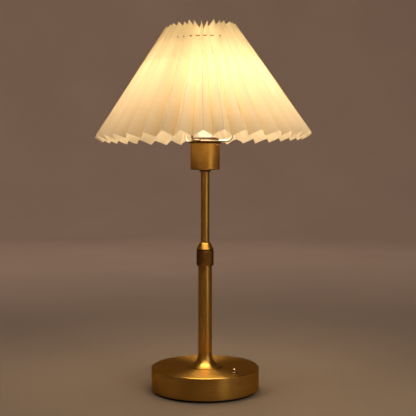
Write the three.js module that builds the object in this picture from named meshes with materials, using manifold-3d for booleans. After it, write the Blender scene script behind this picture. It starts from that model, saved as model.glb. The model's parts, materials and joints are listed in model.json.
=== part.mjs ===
// A table lamp with a telescopic brass stem and a knife-pleated fabric shade.
// Millimetres, +Z up. The origin is on the table, on the axis of the stem.
// The user stands on the -Y side, where the push switch is. The cord leaves at the back, +Y.

import * as THREE from 'three';
import { mergeVertices } from 'three/addons/utils/BufferGeometryUtils.js';
import Module from 'manifold-3d';

const wasm = await Module();
wasm.setup();

// ---------------------------------------------------------------- driving dimensions

const gap = 0.3;                     // left between two parts that touch
const runGap = 0.2;                  // left between two parts that slide or turn

const padRadius = 60;
const padThickness = 3;
const baseRadius = 62.5;
const baseTop = 28;
const shellWall = 1.2;

const weightTop = 15;
const bossRadius = 13;

const flareRadius = 20.3;
const flareTop = 43.5;

const lowerTubeRadius = 8;
const lowerTubeWall = 1;
const lowerTubeTop = 160;
const upperTubeRadius = 5;
const upperTubeWall = 0.8;
const upperTubeBottom = 105;
const upperTubeTop = 254;

const collarRadius = 10;
const collarBottom = 145.5;
const collarTop = 172;
const collarShoulder = 165;

const nippleRadius = 5;              // M10 x 1 threaded tube in the foot
const nippleBore = 3.2;
const nippleBottom = 4.9;
const nippleHead = 51.5;
const topNippleRadius = 3.9;         // M8 x 1 threaded tube under the lampholder
const topNippleBore = 2.6;
const topNippleBottom = 238;
const nippleTop = 261.2;
const leadRadius = 1.6;
const leadHeight = 18.2;             // where the leads cross the foot

const switchX = 32.9;
const switchY = -36;
const switchThread = 3.3;
const bezelRadius = 3.9;
const buttonRadius = 2.1;

const grommetHeight = 21.5;
const grommetNeck = 4.1;

const cupRadius = 17;
const cupBottom = 256.6;
const cupTop = 287;
const sleeveRadius = 14;             // outside thread of an E14 lampholder
const sleeveTop = 293.8;

const wireRadius = 1.5;
const armStart = 16.8;
const armHeight = 290.2;
const armBend = 6;
const armFoot = 33.5;
const armAzimuths = [98, 218, 338];  // degrees from the front, -Y, towards +X
const topRingRadius = 36.2;
const topRingHeight = 399.5;

const pleats = 36;
const pleatRows = 4;
const clothThickness = 0.6;
const outerFold = { topR: 39.7, topZ: 424, bottomR: 125, bottomZ: 296.2 };
const innerFold = { topR: 27.4, topZ: 416, bottomR: 116, bottomZ: 290.3 };
const gatherRadius = 44;
const gatherHeight = 404;

const bulbRadius = 22.5;             // P45 golf ball bulb with an E14 cap
const bulbTip = 267.5;
const bulbCentre = bulbTip + 56;

// ---------------------------------------------------------------- materials

const finish = (color, roughness, metalness, extra = {}) => {
  return new THREE.MeshStandardMaterial({ color, roughness, metalness, ...extra });
};

const materials = {
  brass: () => finish(0x9a6f2e, 0.36, 1),
  darkBrass: () => finish(0x4a3216, 0.42, 1),
  brightBrass: () => finish(0xc79a45, 0.3, 1),
  nickel: () => finish(0xc9c6bf, 0.25, 1),
  darkNickel: () => finish(0x94908b, 0.35, 1),
  zinc: () => finish(0xa9adb0, 0.45, 1),
  iron: () => finish(0x3c3b3a, 0.8, 0.6),
  rubber: () => finish(0x151413, 0.9, 0),
  blackPlastic: () => finish(0x1b1917, 0.5, 0),
  brownPlastic: () => finish(0x3a2413, 0.35, 0),
  nylon: () => finish(0xe4dfd2, 0.5, 0),
  lead: () => finish(0xd9d4c6, 0.55, 0),
  cloth: () => finish(0xf2dfb6, 0.9, 0, { side: THREE.DoubleSide }),
  brownCotton: () => finish(0xa17d50, 0.95, 0),
  opalGlass: () => finish(0xfff6e2, 0.25, 0, { transparent: true, opacity: 0.85 }),
  clearGlass: () => finish(0xf4f7f7, 0.05, 0, { transparent: true, opacity: 0.35 }),
  tungsten: () => finish(0x6e6c69, 0.5, 1),
};

// ---------------------------------------------------------------- geometry helpers

// Only positions, shared corners merged, and no triangle with a repeated corner.
function tidy(geometry) {
  const bare = geometry.clone();
  bare.deleteAttribute('normal');
  bare.deleteAttribute('uv');
  const merged = mergeVertices(bare, 1e-4);
  const corners = merged.index.array;
  const kept = [];
  for (let i = 0; i < corners.length; i += 3) {
    const [a, b, c] = [corners[i], corners[i + 1], corners[i + 2]];
    if (a !== b && b !== c && c !== a) kept.push(a, b, c);
  }
  merged.setIndex(kept);
  return merged;
}

// A solid of revolution about Z. The profile is a list of [radius, height].
// An open profile starts and ends on the axis, and a closed one runs round its section.
function turned(profile, segments, closed = true) {
  const points = profile.map(([r, z]) => new THREE.Vector2(r, z));
  if (closed) points.push(points[0].clone());
  if (THREE.ShapeUtils.area(points) < 0) points.reverse();
  const geometry = new THREE.LatheGeometry(points, segments);
  return tidy(geometry.rotateX(Math.PI / 2));
}

// Points of an arc in the [radius, height] plane, angles in degrees.
function arc(centreR, centreZ, radiusR, radiusZ, from, to, steps) {
  return Array.from({ length: steps + 1 }, (_, i) => {
    const angle = THREE.MathUtils.degToRad(from + ((to - from) * i) / steps);
    return [centreR + radiusR * Math.cos(angle), centreZ + radiusZ * Math.sin(angle)];
  });
}

// A plain tube, washer or ring.
function ring(innerRadius, outerRadius, bottom, top, segments) {
  const profile = [
    [innerRadius, bottom],
    [outerRadius, bottom],
    [outerRadius, top],
    [innerRadius, top],
  ];
  return turned(profile, segments);
}

// A plain cylinder that stands on its end.
function rod(radius, bottom, top, segments) {
  const profile = [
    [0, bottom],
    [radius, bottom],
    [radius, top],
    [0, top],
  ];
  return turned(profile, segments, false);
}

function block(width, depth, height, x, y, bottom) {
  const geometry = new THREE.BoxGeometry(width, depth, height);
  return tidy(geometry.translate(x, y, bottom + height / 2));
}

// A hexagonal nut with a round hole, standing on its face.
function hexNut(flats, bore, bottom, height) {
  const corner = flats / 2 / Math.cos(Math.PI / 6);
  const shape = new THREE.Shape();
  for (let i = 0; i < 6; i++) {
    const angle = (i * Math.PI) / 3;
    const x = corner * Math.cos(angle);
    const y = corner * Math.sin(angle);
    if (i === 0) shape.moveTo(x, y);
    else shape.lineTo(x, y);
  }
  shape.closePath();
  shape.holes.push(new THREE.Path().absarc(0, 0, bore, 0, Math.PI * 2, true));
  const options = { depth: height, bevelEnabled: false, curveSegments: 8 };
  return tidy(new THREE.ExtrudeGeometry(shape, options).translate(0, 0, bottom));
}

// A round wire along a curve.
function wire(curve, radius, sides, steps) {
  const section = new THREE.Shape();
  for (let i = 0; i < sides; i++) {
    const angle = (i * 2 * Math.PI) / sides;
    const x = radius * Math.cos(angle);
    const y = radius * Math.sin(angle);
    if (i === 0) section.moveTo(x, y);
    else section.lineTo(x, y);
  }
  section.closePath();
  const options = { steps, bevelEnabled: false, extrudePath: curve };
  return tidy(new THREE.ExtrudeGeometry(section, options));
}

// A ring of round wire, lying level.
function hoop(radius, wireSize, height, segments, sides) {
  const geometry = new THREE.TorusGeometry(radius, wireSize, sides, segments);
  return tidy(geometry.translate(0, 0, height));
}

function solidOf(geometry) {
  const mesh = new wasm.Mesh({
    numProp: 3,
    vertProperties: new Float32Array(geometry.attributes.position.array),
    triVerts: new Uint32Array(geometry.index.array),
  });
  return new wasm.Manifold(mesh);
}

// The first geometry with the others cut out of it.
function cut(geometry, ...tools) {
  const result = tools.reduce((left, tool) => left.subtract(solidOf(tool)), solidOf(geometry));
  const mesh = result.getMesh();
  const shape = new THREE.BufferGeometry();
  shape.setAttribute('position', new THREE.BufferAttribute(mesh.vertProperties, 3));
  shape.setIndex(new THREE.BufferAttribute(mesh.triVerts, 1));
  return shape;
}

// ---------------------------------------------------------------- the lamp

const lamp = new THREE.Group();

function add(name, geometry, material, parent = lamp) {
  const mesh = new THREE.Mesh(geometry, material);
  mesh.name = name;
  parent.add(mesh);
  return mesh;
}

// ---- foot: pad, iron weight, spun shell and the nipple that clamps them

const padHole = 16;
add('base_pad', ring(padHole, padRadius, 0, padThickness, 40), materials.rubber());

const pocketRadius = 12.5;           // hollow under the weight for the washer and nut
const pocketTop = 11;

function baseWeight() {
  const bottom = padThickness + gap;
  const radius = baseRadius - shellWall - 0.4;
  const bossTop = baseTop - shellWall - gap;
  const bore = nippleRadius + 0.4;
  const profile = [
    [pocketRadius, bottom],
    [radius - 1, bottom],
    [radius, bottom + 1],
    [radius, weightTop - 1],
    [radius - 1, weightTop],
    [bossRadius, weightTop],
    [bossRadius, bossTop],
    [bore, bossTop],
    [bore, pocketTop],
    [pocketRadius, pocketTop],
  ];
  const leadSlot = block(16, 5.2, 14, -8, 0, weightTop);
  const switchPocket = rod(9, 9, weightTop + 5, 12).translate(switchX, switchY, 0);
  return cut(turned(profile, 32), leadSlot, switchPocket);
}
add('base_weight', baseWeight(), materials.iron());

function baseShell() {
  const edge = 1.5;
  const inner = baseRadius - shellWall;
  const bore = nippleRadius + gap;
  const bottom = padThickness;
  const under = baseTop - shellWall;
  const profile = [
    [inner, bottom],
    ...arc(baseRadius - 0.5, bottom + 0.5, 0.5, 0.5, -90, 0, 1),
    ...arc(baseRadius - edge, baseTop - edge, edge, edge, 0, 90, 2),
    [bore, baseTop],
    [bore, under],
    [inner, under],
  ];
  const switchHole = rod(switchThread + gap, under - 1, baseTop + 1, 14);
  switchHole.translate(switchX, switchY, 0);
  const cordHole = rod(grommetNeck + gap, -3, 3, 12);
  cordHole.rotateX(Math.PI / 2);
  cordHole.translate(0, baseRadius, grommetHeight);
  return cut(turned(profile, 48), switchHole, cordHole);
}
add('base_shell', baseShell(), materials.brass());

function footFlare() {
  const bottom = baseTop + gap;
  const lip = 0.7;
  const reach = flareRadius - lowerTubeRadius;
  const rise = flareTop - bottom - lip;
  const profile = [
    [nippleRadius + gap, bottom],
    [flareRadius, bottom],
    ...arc(flareRadius, flareTop, reach, rise, 270, 180, 6),
    [nippleRadius + gap, flareTop],
  ];
  return turned(profile, 30);
}
add('foot_flare', footFlare(), materials.brass());

function baseNipple() {
  const tube = ring(nippleBore, nippleRadius, nippleBottom, nippleHead, 14);
  const leadWindow = block(8, 4.4, 10, -5, 0, weightTop - 1);
  return cut(tube, leadWindow);
}
add('base_nipple', baseNipple(), materials.zinc());

const washerTop = pocketTop - gap;
const washerThickness = 1.2;
const nutHeight = 4.4;
const nutTop = washerTop - washerThickness - gap;
const washer = ring(nippleRadius + gap, 11, washerTop - washerThickness, washerTop, 18);
add('base_washer', washer, materials.zinc());
add('base_nut', hexNut(14, nippleRadius + gap, nutTop - nutHeight, nutHeight), materials.zinc());

// ---- cord inlet at the back and the wiring inside the foot

function cordGrommet() {
  const bore = 3.2;
  const flange = 5.2;
  const profile = [
    [bore, -3.2],
    [flange - 0.3, -3.2],
    [flange, -2],
    [grommetNeck, -1.7],
    [grommetNeck, 0.6],
    [flange, 0.9],
    [flange - 0.2, 2],
    [bore + 0.6, 2.6],
    [bore, 2.2],
  ];
  const grommet = turned(profile, 14);
  grommet.rotateX(-Math.PI / 2);
  return grommet.translate(0, baseRadius, grommetHeight);
}
add('cord_grommet', cordGrommet(), materials.rubber());

const terminalX = -32;
const terminalLength = 15;

function terminalBlock() {
  const body = block(terminalLength, 11, 8, terminalX, 0, weightTop + gap);
  const screwHoles = [-3, 3].flatMap((y) => {
    return [-3.5, 3.5].map((x) => {
      return rod(1.3, weightTop + 5, weightTop + 10, 8).translate(terminalX + x, y, 0);
    });
  });
  return cut(body, ...screwHoles);
}
add('terminal_block', terminalBlock(), materials.nylon());

function leadInFoot() {
  const start = terminalX + terminalLength / 2 + gap;
  const curve = new THREE.CatmullRomCurve3([
    new THREE.Vector3(start, 0, leadHeight),
    new THREE.Vector3(-14, 0, leadHeight),
    new THREE.Vector3(-6, 0, leadHeight + 0.4),
    new THREE.Vector3(-1, 0, leadHeight + 4.3),
    new THREE.Vector3(0, 0, leadHeight + 10.8),
    new THREE.Vector3(0, 0, 40),
    new THREE.Vector3(0, 0, nippleHead - 1),
  ]);
  return wire(curve, leadRadius, 6, 14);
}
add('lead_in_foot', leadInFoot(), materials.lead());

// ---- push switch in the top of the foot

const switchGroup = new THREE.Group();
switchGroup.position.set(switchX, switchY, 0);
lamp.add(switchGroup);

function switchBezel() {
  const bore = buttonRadius + gap;
  const profile = [
    [bore, baseTop - 3],
    [switchThread, baseTop - 3],
    [switchThread, baseTop + gap],
    [bezelRadius, baseTop + gap],
    [bezelRadius, baseTop + 0.8],
    [bezelRadius - 0.5, baseTop + 1.3],
    [bore + 0.3, baseTop + 1.4],
    [bore, baseTop + 1.1],
  ];
  return turned(profile, 18);
}
add('switch_bezel', switchBezel(), materials.darkNickel(), switchGroup);

const switchNutTop = baseTop - shellWall - 0.4;
const switchNut = hexNut(9, switchThread + gap, switchNutTop - 1.4, 1.4);
add('switch_nut', switchNut, materials.zinc(), switchGroup);

const switchBodyTop = 24.5;

function switchButton() {
  const stem = 1.3;
  const domeFoot = baseTop + 2.9;
  const dome = arc(0, domeFoot, buttonRadius, buttonRadius, 0, 90, 4);
  dome[dome.length - 1][0] = 0;
  const profile = [
    [0, switchBodyTop - 4],
    [stem, switchBodyTop - 4],
    [stem, baseTop - 1.4],
    [buttonRadius, baseTop - 1.4],
    ...dome,
  ];
  return turned(profile, 16, false);
}
add('switch_button', switchButton(), materials.darkNickel(), switchGroup);

function switchBody() {
  const height = 13.2;
  const body = block(12, 8.5, height, 0, 0, switchBodyTop - height);
  const stemBore = rod(1.7, switchBodyTop - 6, switchBodyTop + 1, 12);
  return cut(body, stemBore);
}
add('switch_body', switchBody(), materials.blackPlastic(), switchGroup);

// ---- telescopic stem

const ferruleTop = 52;
const tubeFoot = flareTop + gap;
const tubeBore = lowerTubeRadius - lowerTubeWall;
add('lower_tube', ring(tubeBore, lowerTubeRadius, tubeFoot, lowerTubeTop, 32), materials.brass());

const ferrule = ring(nippleRadius + gap, tubeBore - gap, tubeFoot, ferruleTop, 18);
add('tube_ferrule', ferrule, materials.brightBrass());

function clampCollar() {
  const bore = lowerTubeRadius + gap;
  const exit = upperTubeRadius + 0.5;
  const groove = 0.5;
  const profile = [
    [bore, collarBottom],
    [collarRadius - 0.8, collarBottom],
    [collarRadius, collarBottom + 1],
    [collarRadius, collarShoulder - 2],
    [collarRadius - groove, collarShoulder - 1.7],
    [collarRadius - groove, collarShoulder - 1.3],
    [collarRadius, collarShoulder - 1],
    [collarRadius, collarShoulder],
    [upperTubeRadius + 1.5, collarTop - 0.3],
    [upperTubeRadius + 1.2, collarTop],
    [exit, collarTop],
    [exit, collarTop - 1.2],
    [bore, lowerTubeTop + 1.5],
  ];
  return turned(profile, 28);
}
add('clamp_collar', clampCollar(), materials.darkBrass());

function collet() {
  const profile = [
    [upperTubeRadius + runGap, lowerTubeTop + gap],
    [lowerTubeRadius - 0.1, lowerTubeTop + gap],
    [lowerTubeRadius - 0.1, lowerTubeTop + 1.2],
    [upperTubeRadius + 0.85, lowerTubeTop + 8.5],
    [upperTubeRadius + runGap, lowerTubeTop + 8.5],
  ];
  const slot = block(12, 1.2, 12, 6, 0, lowerTubeTop - 1);
  return cut(turned(profile, 24), slot);
}
add('collet', collet(), materials.nylon());

const upperBore = upperTubeRadius - upperTubeWall;
const upperTube = ring(upperBore, upperTubeRadius, upperTubeBottom, upperTubeTop, 28);
add('upper_tube', upperTube, materials.brass());

const bushTop = upperTubeBottom + 12;
const bushBore = upperTubeRadius + runGap;
const bush = ring(bushBore, tubeBore - runGap, upperTubeBottom, bushTop, 28);
add('guide_bush', bush, materials.nylon());

const slackBottom = ferruleTop + gap;
const slackTop = upperTubeBottom - 0.4;
add('lead_slack', rod(upperBore - 0.4, slackBottom, slackTop, 12), materials.lead());
add('lead_in_tube', rod(leadRadius, upperTubeBottom + 2, nippleTop + 0.3, 8), materials.lead());

// ---- lampholder on top of the stem

const topBore = topNippleRadius + gap;
const topNipple = ring(topNippleBore, topNippleRadius, topNippleBottom, nippleTop, 14);
add('top_nipple', topNipple, materials.zinc());
const topWasher = ring(topBore, 6.7, upperTubeTop + gap, cupBottom - gap, 20);
add('top_washer', topWasher, materials.darkBrass());

function holderCup() {
  const wall = 1.2;
  const edge = 2;
  const profile = [
    [topBore, cupBottom],
    ...arc(cupRadius - edge, cupBottom + edge, edge, edge, 270, 360, 2),
    [cupRadius, cupTop],
    [cupRadius - wall, cupTop],
    [cupRadius - wall, cupBottom + edge],
    [cupRadius - wall - 1, cupBottom + 1.4],
    [topBore, cupBottom + 1.4],
  ];
  return turned(profile, 30);
}
add('holder_cup', holderCup(), materials.brass());
add('top_nut', hexNut(12, topBore, cupBottom + 1.7, 2.4), materials.zinc());

const collarOnSleeve = sleeveRadius + gap;
const flangeBottom = cupTop + gap;
const flangeTop = flangeBottom + 1.1;
const cupFlange = ring(collarOnSleeve, cupRadius + 2.25, flangeBottom, flangeTop, 30);
add('cup_flange', cupFlange, materials.darkBrass());

function lampholderBody() {
  const bottom = nippleTop + 0.6;
  const floor = bulbTip - 1.9;
  const bore = 8.3;
  const profile = [
    [0, bottom],
    [sleeveRadius - 1, bottom],
    [sleeveRadius, bottom + 1],
    [sleeveRadius, sleeveTop - 0.6],
    [sleeveRadius - 0.6, sleeveTop],
    [bore, sleeveTop],
    [bore, floor],
    [0, floor],
  ];
  const leadHoles = [-5.5, 5.5].map((x) => rod(1.4, bottom - 1, floor + 1, 8).translate(x, 0, 0));
  return cut(turned(profile, 24, false), ...leadHoles);
}
add('lampholder_body', lampholderBody(), materials.blackPlastic());
add('screw_shell', ring(7.4, 8, bulbTip + 0.5, bulbTip + 21, 18), materials.brightBrass());
add('centre_contact', block(7, 3, 1.3, 0, 0, bulbTip - 1.6), materials.brightBrass());

// ---- wire carrier that holds the shade above the lampholder

const carrierRingTop = 290.5;
const carrierRing = ring(collarOnSleeve, armStart - gap, flangeTop + gap, carrierRingTop, 28);
add('carrier_ring', carrierRing, materials.nickel());

function ringNut() {
  const bottom = carrierRingTop + gap;
  const profile = [
    [collarOnSleeve, bottom],
    [15.3, bottom],
    [15.7, bottom + 0.5],
    [15.7, bottom + 2],
    [15.1, bottom + 2.5],
    [collarOnSleeve, bottom + 2.5],
  ];
  return turned(profile, 24);
}
add('ring_nut', ringNut(), materials.brownPlastic());

// An arm leaves the ring level, turns up through a quarter bend and leans out to the top ring.
function carrierArm() {
  const bendStart = new THREE.Vector3(armFoot - armBend, 0, armHeight);
  const corner = new THREE.Vector3(armFoot, 0, armHeight);
  const bendEnd = new THREE.Vector3(armFoot + 0.1, 0, armHeight + armBend);
  const top = new THREE.Vector3(topRingRadius, 0, topRingHeight - wireRadius - gap);
  const path = new THREE.CurvePath();
  path.add(new THREE.LineCurve3(new THREE.Vector3(armStart, 0, armHeight), bendStart));
  path.add(new THREE.QuadraticBezierCurve3(bendStart, corner, bendEnd));
  path.add(new THREE.LineCurve3(bendEnd, top));
  return wire(path, wireRadius, 6, 22);
}
armAzimuths.forEach((azimuth, i) => {
  const arm = add(`carrier_arm_${i + 1}`, carrierArm(), materials.nickel());
  arm.rotation.z = THREE.MathUtils.degToRad(azimuth - 90);
});
add('carrier_top_ring', hoop(topRingRadius, wireRadius, topRingHeight, 32, 6), materials.nickel());

// ---- pleated shade

// A point on a pleat: down is 0 at the crown and 1 at the hem,
// out is 0 on the line of the inner folds and 1 on the line of the outer folds.
function pleatPoint(down, out, angle) {
  const lerp = THREE.MathUtils.lerp;
  const innerR = lerp(innerFold.topR, innerFold.bottomR, down);
  const innerZ = lerp(innerFold.topZ, innerFold.bottomZ, down);
  const outerR = lerp(outerFold.topR, outerFold.bottomR, down);
  const outerZ = lerp(outerFold.topZ, outerFold.bottomZ, down);
  const r = lerp(innerR, outerR, out);
  return [r * Math.cos(angle), r * Math.sin(angle), lerp(innerZ, outerZ, out)];
}

// Six corners of the cloth's section in each pleat: three outside, then three inside.
function pleatSection(down, pleat) {
  const halfPitch = Math.PI / pleats;
  const fold = 2 * halfPitch * pleat;
  const valley = fold + halfPitch;
  const depthR = THREE.MathUtils.lerp(
    outerFold.topR - innerFold.topR, outerFold.bottomR - innerFold.bottomR, down);
  const depthZ = THREE.MathUtils.lerp(
    outerFold.topZ - innerFold.topZ, outerFold.bottomZ - innerFold.bottomZ, down);
  const outerR = THREE.MathUtils.lerp(outerFold.topR, outerFold.bottomR, down);
  const innerR = THREE.MathUtils.lerp(innerFold.topR, innerFold.bottomR, down);
  const depth = Math.hypot(depthR, depthZ);
  const width = halfPitch * (innerR + outerR) / 2;
  const half = clothThickness / 2 * Math.hypot(depth, width) / depth;
  const share = half / width;
  return [
    pleatPoint(down, 1, fold - half / outerR),
    pleatPoint(down, 1, fold + half / outerR),
    pleatPoint(down, share, valley),
    pleatPoint(down, 1 - share, fold),
    pleatPoint(down, 0, valley - half / innerR),
    pleatPoint(down, 0, valley + half / innerR),
  ];
}

function pleatedCloth(rows) {
  const corners = [];
  for (let row = 0; row <= rows; row++) {
    for (let pleat = 0; pleat < pleats; pleat++) {
      corners.push(...pleatSection(row / rows, pleat).flat());
    }
  }
  const at = (row, pleat, corner) => (row * pleats + (pleat % pleats)) * 6 + corner;
  const faces = [];
  const quad = (a, b, c, d) => faces.push(a, b, c, a, c, d);
  for (let pleat = 0; pleat < pleats; pleat++) {
    const next = pleat + 1;
    for (let row = 0; row < rows; row++) {
      const lower = row + 1;
      const outside = [[0, pleat], [1, pleat], [2, pleat], [0, next]];
      const inside = [[3, pleat], [4, pleat], [5, pleat], [3, next]];
      for (let side = 0; side < 3; side++) {
        const [c0, p0] = outside[side];
        const [c1, p1] = outside[side + 1];
        quad(at(row, p0, c0), at(lower, p0, c0), at(lower, p1, c1), at(row, p1, c1));
        const [d0, q0] = inside[side];
        const [d1, q1] = inside[side + 1];
        quad(at(row, q0, d0), at(row, q1, d1), at(lower, q1, d1), at(lower, q0, d0));
      }
    }
    const rim = (row) => [
      [at(row, pleat, 0), at(row, pleat, 1), at(row, pleat, 3)],
      [at(row, pleat, 1), at(row, pleat, 2), at(row, pleat, 3)],
      [at(row, pleat, 2), at(row, pleat, 4), at(row, pleat, 3)],
      [at(row, pleat, 2), at(row, pleat, 5), at(row, pleat, 4)],
      [at(row, pleat, 2), at(row, next, 3), at(row, pleat, 5)],
      [at(row, pleat, 2), at(row, next, 0), at(row, next, 3)],
    ];
    rim(0).forEach(([a, b, c]) => faces.push(a, b, c));
    rim(rows).forEach(([a, b, c]) => faces.push(a, c, b));
  }
  const geometry = new THREE.BufferGeometry();
  geometry.setAttribute('position', new THREE.Float32BufferAttribute(corners, 3));
  geometry.setIndex(faces);
  return geometry;
}

const cordRadius = 0.6;
const tunnelRadius = 1.1;
const cordTunnel = hoop(gatherRadius, tunnelRadius, gatherHeight, 36, 5);
add('shade_pleats', cut(pleatedCloth(pleatRows), cordTunnel), materials.cloth());
add('gather_cord', hoop(gatherRadius, cordRadius, gatherHeight, 36, 4), materials.brownCotton());

// ---- bulb

const capTop = bulbTip + 26;
const stemTop = capTop + 14.5;
add('bulb_contact', rod(2.3, bulbTip, bulbTip + 1.5, 12), materials.zinc());

function bulbInsulator() {
  const bottom = bulbTip + 1.8;
  const profile = [
    [0, bottom],
    [3, bottom],
    [6.2, bottom + 3],
    [0, bottom + 3],
  ];
  return turned(profile, 16, false);
}
add('bulb_insulator', bulbInsulator(), materials.blackPlastic());

function bulbCap() {
  const bottom = bulbTip + 5.1;
  const profile = [
    [6.55, bottom],
    [6.95, bottom],
    [6.95, bulbTip + 22],
    [7.8, bulbTip + 23.5],
    [7.8, capTop],
    [7.4, capTop],
    [7.4, bulbTip + 23.7],
    [6.55, bulbTip + 22.3],
  ];
  return turned(profile, 18);
}
add('bulb_cap', bulbCap(), materials.nickel());

function bulbGlass() {
  const wall = 0.8;
  const neck = 6.2;
  const throat = 7.1;
  const neckBottom = bulbTip + 16.5;
  const shoulder = -56;
  const outside = [
    [neck, neckBottom],
    [neck, capTop - 1.5],
    [throat, capTop + 2],
    ...arc(0, bulbCentre, bulbRadius, bulbRadius, shoulder, 90, 7),
  ];
  const inside = [
    ...arc(0, bulbCentre, bulbRadius - wall, bulbRadius - wall, 90, shoulder, 7),
    [throat - wall, capTop + 2.2],
    [neck - wall, capTop - 1.5],
    [neck - wall, neckBottom],
  ];
  inside[0][0] = 0;
  outside[outside.length - 1][0] = 0;
  return turned([...inside, ...outside], 20, false);
}
add('bulb_glass', bulbGlass(), materials.opalGlass());

function bulbStem() {
  const profile = [
    [0, capTop - 9],
    [5, capTop - 9],
    [4, capTop - 5.5],
    [1.6, capTop - 0.5],
    [1.6, stemTop - 1],
    [0, stemTop],
  ];
  return turned(profile, 12, false);
}
add('bulb_stem', bulbStem(), materials.clearGlass());

function bulbFilament() {
  const curve = new THREE.CatmullRomCurve3([
    new THREE.Vector3(-1.2, 0, stemTop + 0.8),
    new THREE.Vector3(-8, 0, stemTop + 12),
    new THREE.Vector3(0, 0, stemTop + 18),
    new THREE.Vector3(8, 0, stemTop + 12),
    new THREE.Vector3(1.2, 0, stemTop + 0.8),
  ]);
  return wire(curve, 0.5, 4, 14);
}
add('bulb_filament', bulbFilament(), materials.tungsten());

export default lamp;
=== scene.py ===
"""A lit table lamp: aged brushed brass, a telescopic stem and a knife-pleated cloth shade.

Metres, +Z up, the front is -Y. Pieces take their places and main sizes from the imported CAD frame.
The camera, the lights, the finishes, the shade's lean and trim, wall thicknesses and small details
of form have values of their own here."""

import json
import math

import bpy
import numpy as np
from mathutils import Matrix, Vector


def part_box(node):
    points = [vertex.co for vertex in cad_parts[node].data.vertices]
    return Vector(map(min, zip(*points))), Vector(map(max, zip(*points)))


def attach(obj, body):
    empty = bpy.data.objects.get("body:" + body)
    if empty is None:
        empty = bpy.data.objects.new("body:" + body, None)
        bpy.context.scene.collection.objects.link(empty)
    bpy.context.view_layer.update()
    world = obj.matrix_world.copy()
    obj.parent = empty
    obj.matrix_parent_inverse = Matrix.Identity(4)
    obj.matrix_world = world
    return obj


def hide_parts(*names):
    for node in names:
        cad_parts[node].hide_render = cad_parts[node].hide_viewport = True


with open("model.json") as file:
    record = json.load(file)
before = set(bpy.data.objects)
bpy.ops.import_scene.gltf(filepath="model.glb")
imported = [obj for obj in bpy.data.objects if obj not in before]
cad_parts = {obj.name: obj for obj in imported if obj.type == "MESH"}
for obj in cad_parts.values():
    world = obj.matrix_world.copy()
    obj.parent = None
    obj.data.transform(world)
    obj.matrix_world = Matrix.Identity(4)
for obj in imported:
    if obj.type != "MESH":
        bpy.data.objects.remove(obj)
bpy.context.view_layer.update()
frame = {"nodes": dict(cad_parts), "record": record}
MM = 0.001


# ------------------------------------------------------------------ camera, floor and lights

CAMERA_DISTANCE = 0.972
CAMERA_HEIGHT = 0.2475
CAMERA_PITCH = 2.07                 # degrees down
CAMERA_YAW = -0.2                   # degrees
CAMERA_LENS = 72.6                  # millimetres
LAMP_MIDDLE = (0, 0, 0.2)           # where the side lights aim
WASH_COLOUR = (1.0, 0.72, 0.56)
# side of the lamp, degrees round from the back, power: one wall light each
WASHES = (("back", 10, 19), ("left", 100, 6), ("front", 190, 3), ("right", 280, 6))


def make_camera():
    """The camera of the photograph: in front, a little above the middle, looking slightly down."""
    data = bpy.data.cameras.new("camera")
    data.lens = CAMERA_LENS
    data.sensor_width = 36
    camera = bpy.data.objects.new("camera", data)
    camera.location = (0, -CAMERA_DISTANCE, CAMERA_HEIGHT)
    camera.rotation_euler = (math.radians(90 - CAMERA_PITCH), 0, math.radians(CAMERA_YAW))
    bpy.context.scene.collection.objects.link(camera)
    bpy.context.scene.camera = camera


def area_light(name, place, target, size, power, colour, mirrored=True):
    """A rectangular soft light. With mirrored off, it lights without showing in the metal."""
    data = bpy.data.lights.new(name, "AREA")
    data.shape = "RECTANGLE"
    data.size, data.size_y = size
    data.energy = power
    data.color = colour
    light = bpy.data.objects.new(name, data)
    light.location = place
    light.rotation_euler = (Vector(target) - Vector(place)).to_track_quat("-Z", "Y").to_euler()
    light.visible_camera = False
    light.visible_glossy = mirrored
    bpy.context.scene.collection.objects.link(light)
    return light


def studio():
    """Low soft light from all round, with two panels on the right that show in the metal."""
    area_light("soft_top", (-0.9, 0.6, 2.3), (0, 0.5, 0), (1.8, 1.4), 1.2, (1.0, 0.92, 0.82))
    for side, turn, power in WASHES:
        way = Matrix.Rotation(math.radians(turn), 3, "Z")
        above = way @ Vector((0, 1.2, 1.8))
        wall_foot = way @ Vector((0, 3.2, 0.15))
        area_light(f"wash_{side}", above, wall_foot, (2.4, 0.8), power, WASH_COLOUR, mirrored=False)
    area_light("panel_right", (0.92, -1.08, 0.75), LAMP_MIDDLE, (0.50, 1.1), 3.4, (1.0, 0.86, 0.62))
    area_light("strip_side", (1.34, -0.62, 0.60), LAMP_MIDDLE, (0.14, 0.7), 0.7, (1.0, 0.88, 0.66))
    area_light("soft_left", (-1.45, -0.95, 1.6), LAMP_MIDDLE, (1.2, 1.2), 2.2, (1.0, 0.90, 0.76),
               mirrored=False)
    world = bpy.data.worlds.new("studio")
    bpy.context.scene.world = world
    world.use_nodes = True
    background = world.node_tree.nodes["Background"]
    background.inputs["Color"].default_value = (0.80, 0.74, 0.66, 1)
    background.inputs["Strength"].default_value = 0.04


def make_floor():
    """A pale floor that curves up all round into a wall, so that no view has a hard horizon."""
    flat, wall, height = 2.4, 3.6, 3.2
    outline = [(0, 0), (0.5, 0), (1.2, 0)]
    for angle in np.linspace(0, math.pi / 2, 24):
        outline.append((flat + (wall - flat) * math.sin(angle), (wall - flat) * (1 - math.cos(angle))))
    outline.append((wall, height))
    floor = turned("floor", outline, closed=False, segments=96, sharp_angle=60)
    kit = Nodes("floor_matt")
    kit.plain((0.47, 0.40, 0.35), 0.9, Specular_IOR_Level=0.0)
    cloud = kit.noise(kit.object_coordinates(), scale=3, detail=3)
    kit.link(kit.ramp(cloud, (0.35, (0.455, 0.387, 0.339)), (0.7, (0.485, 0.412, 0.361))), "Base Color")
    floor.data.materials.append(kit.material)


# ------------------------------------------------------------------ meshes

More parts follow.
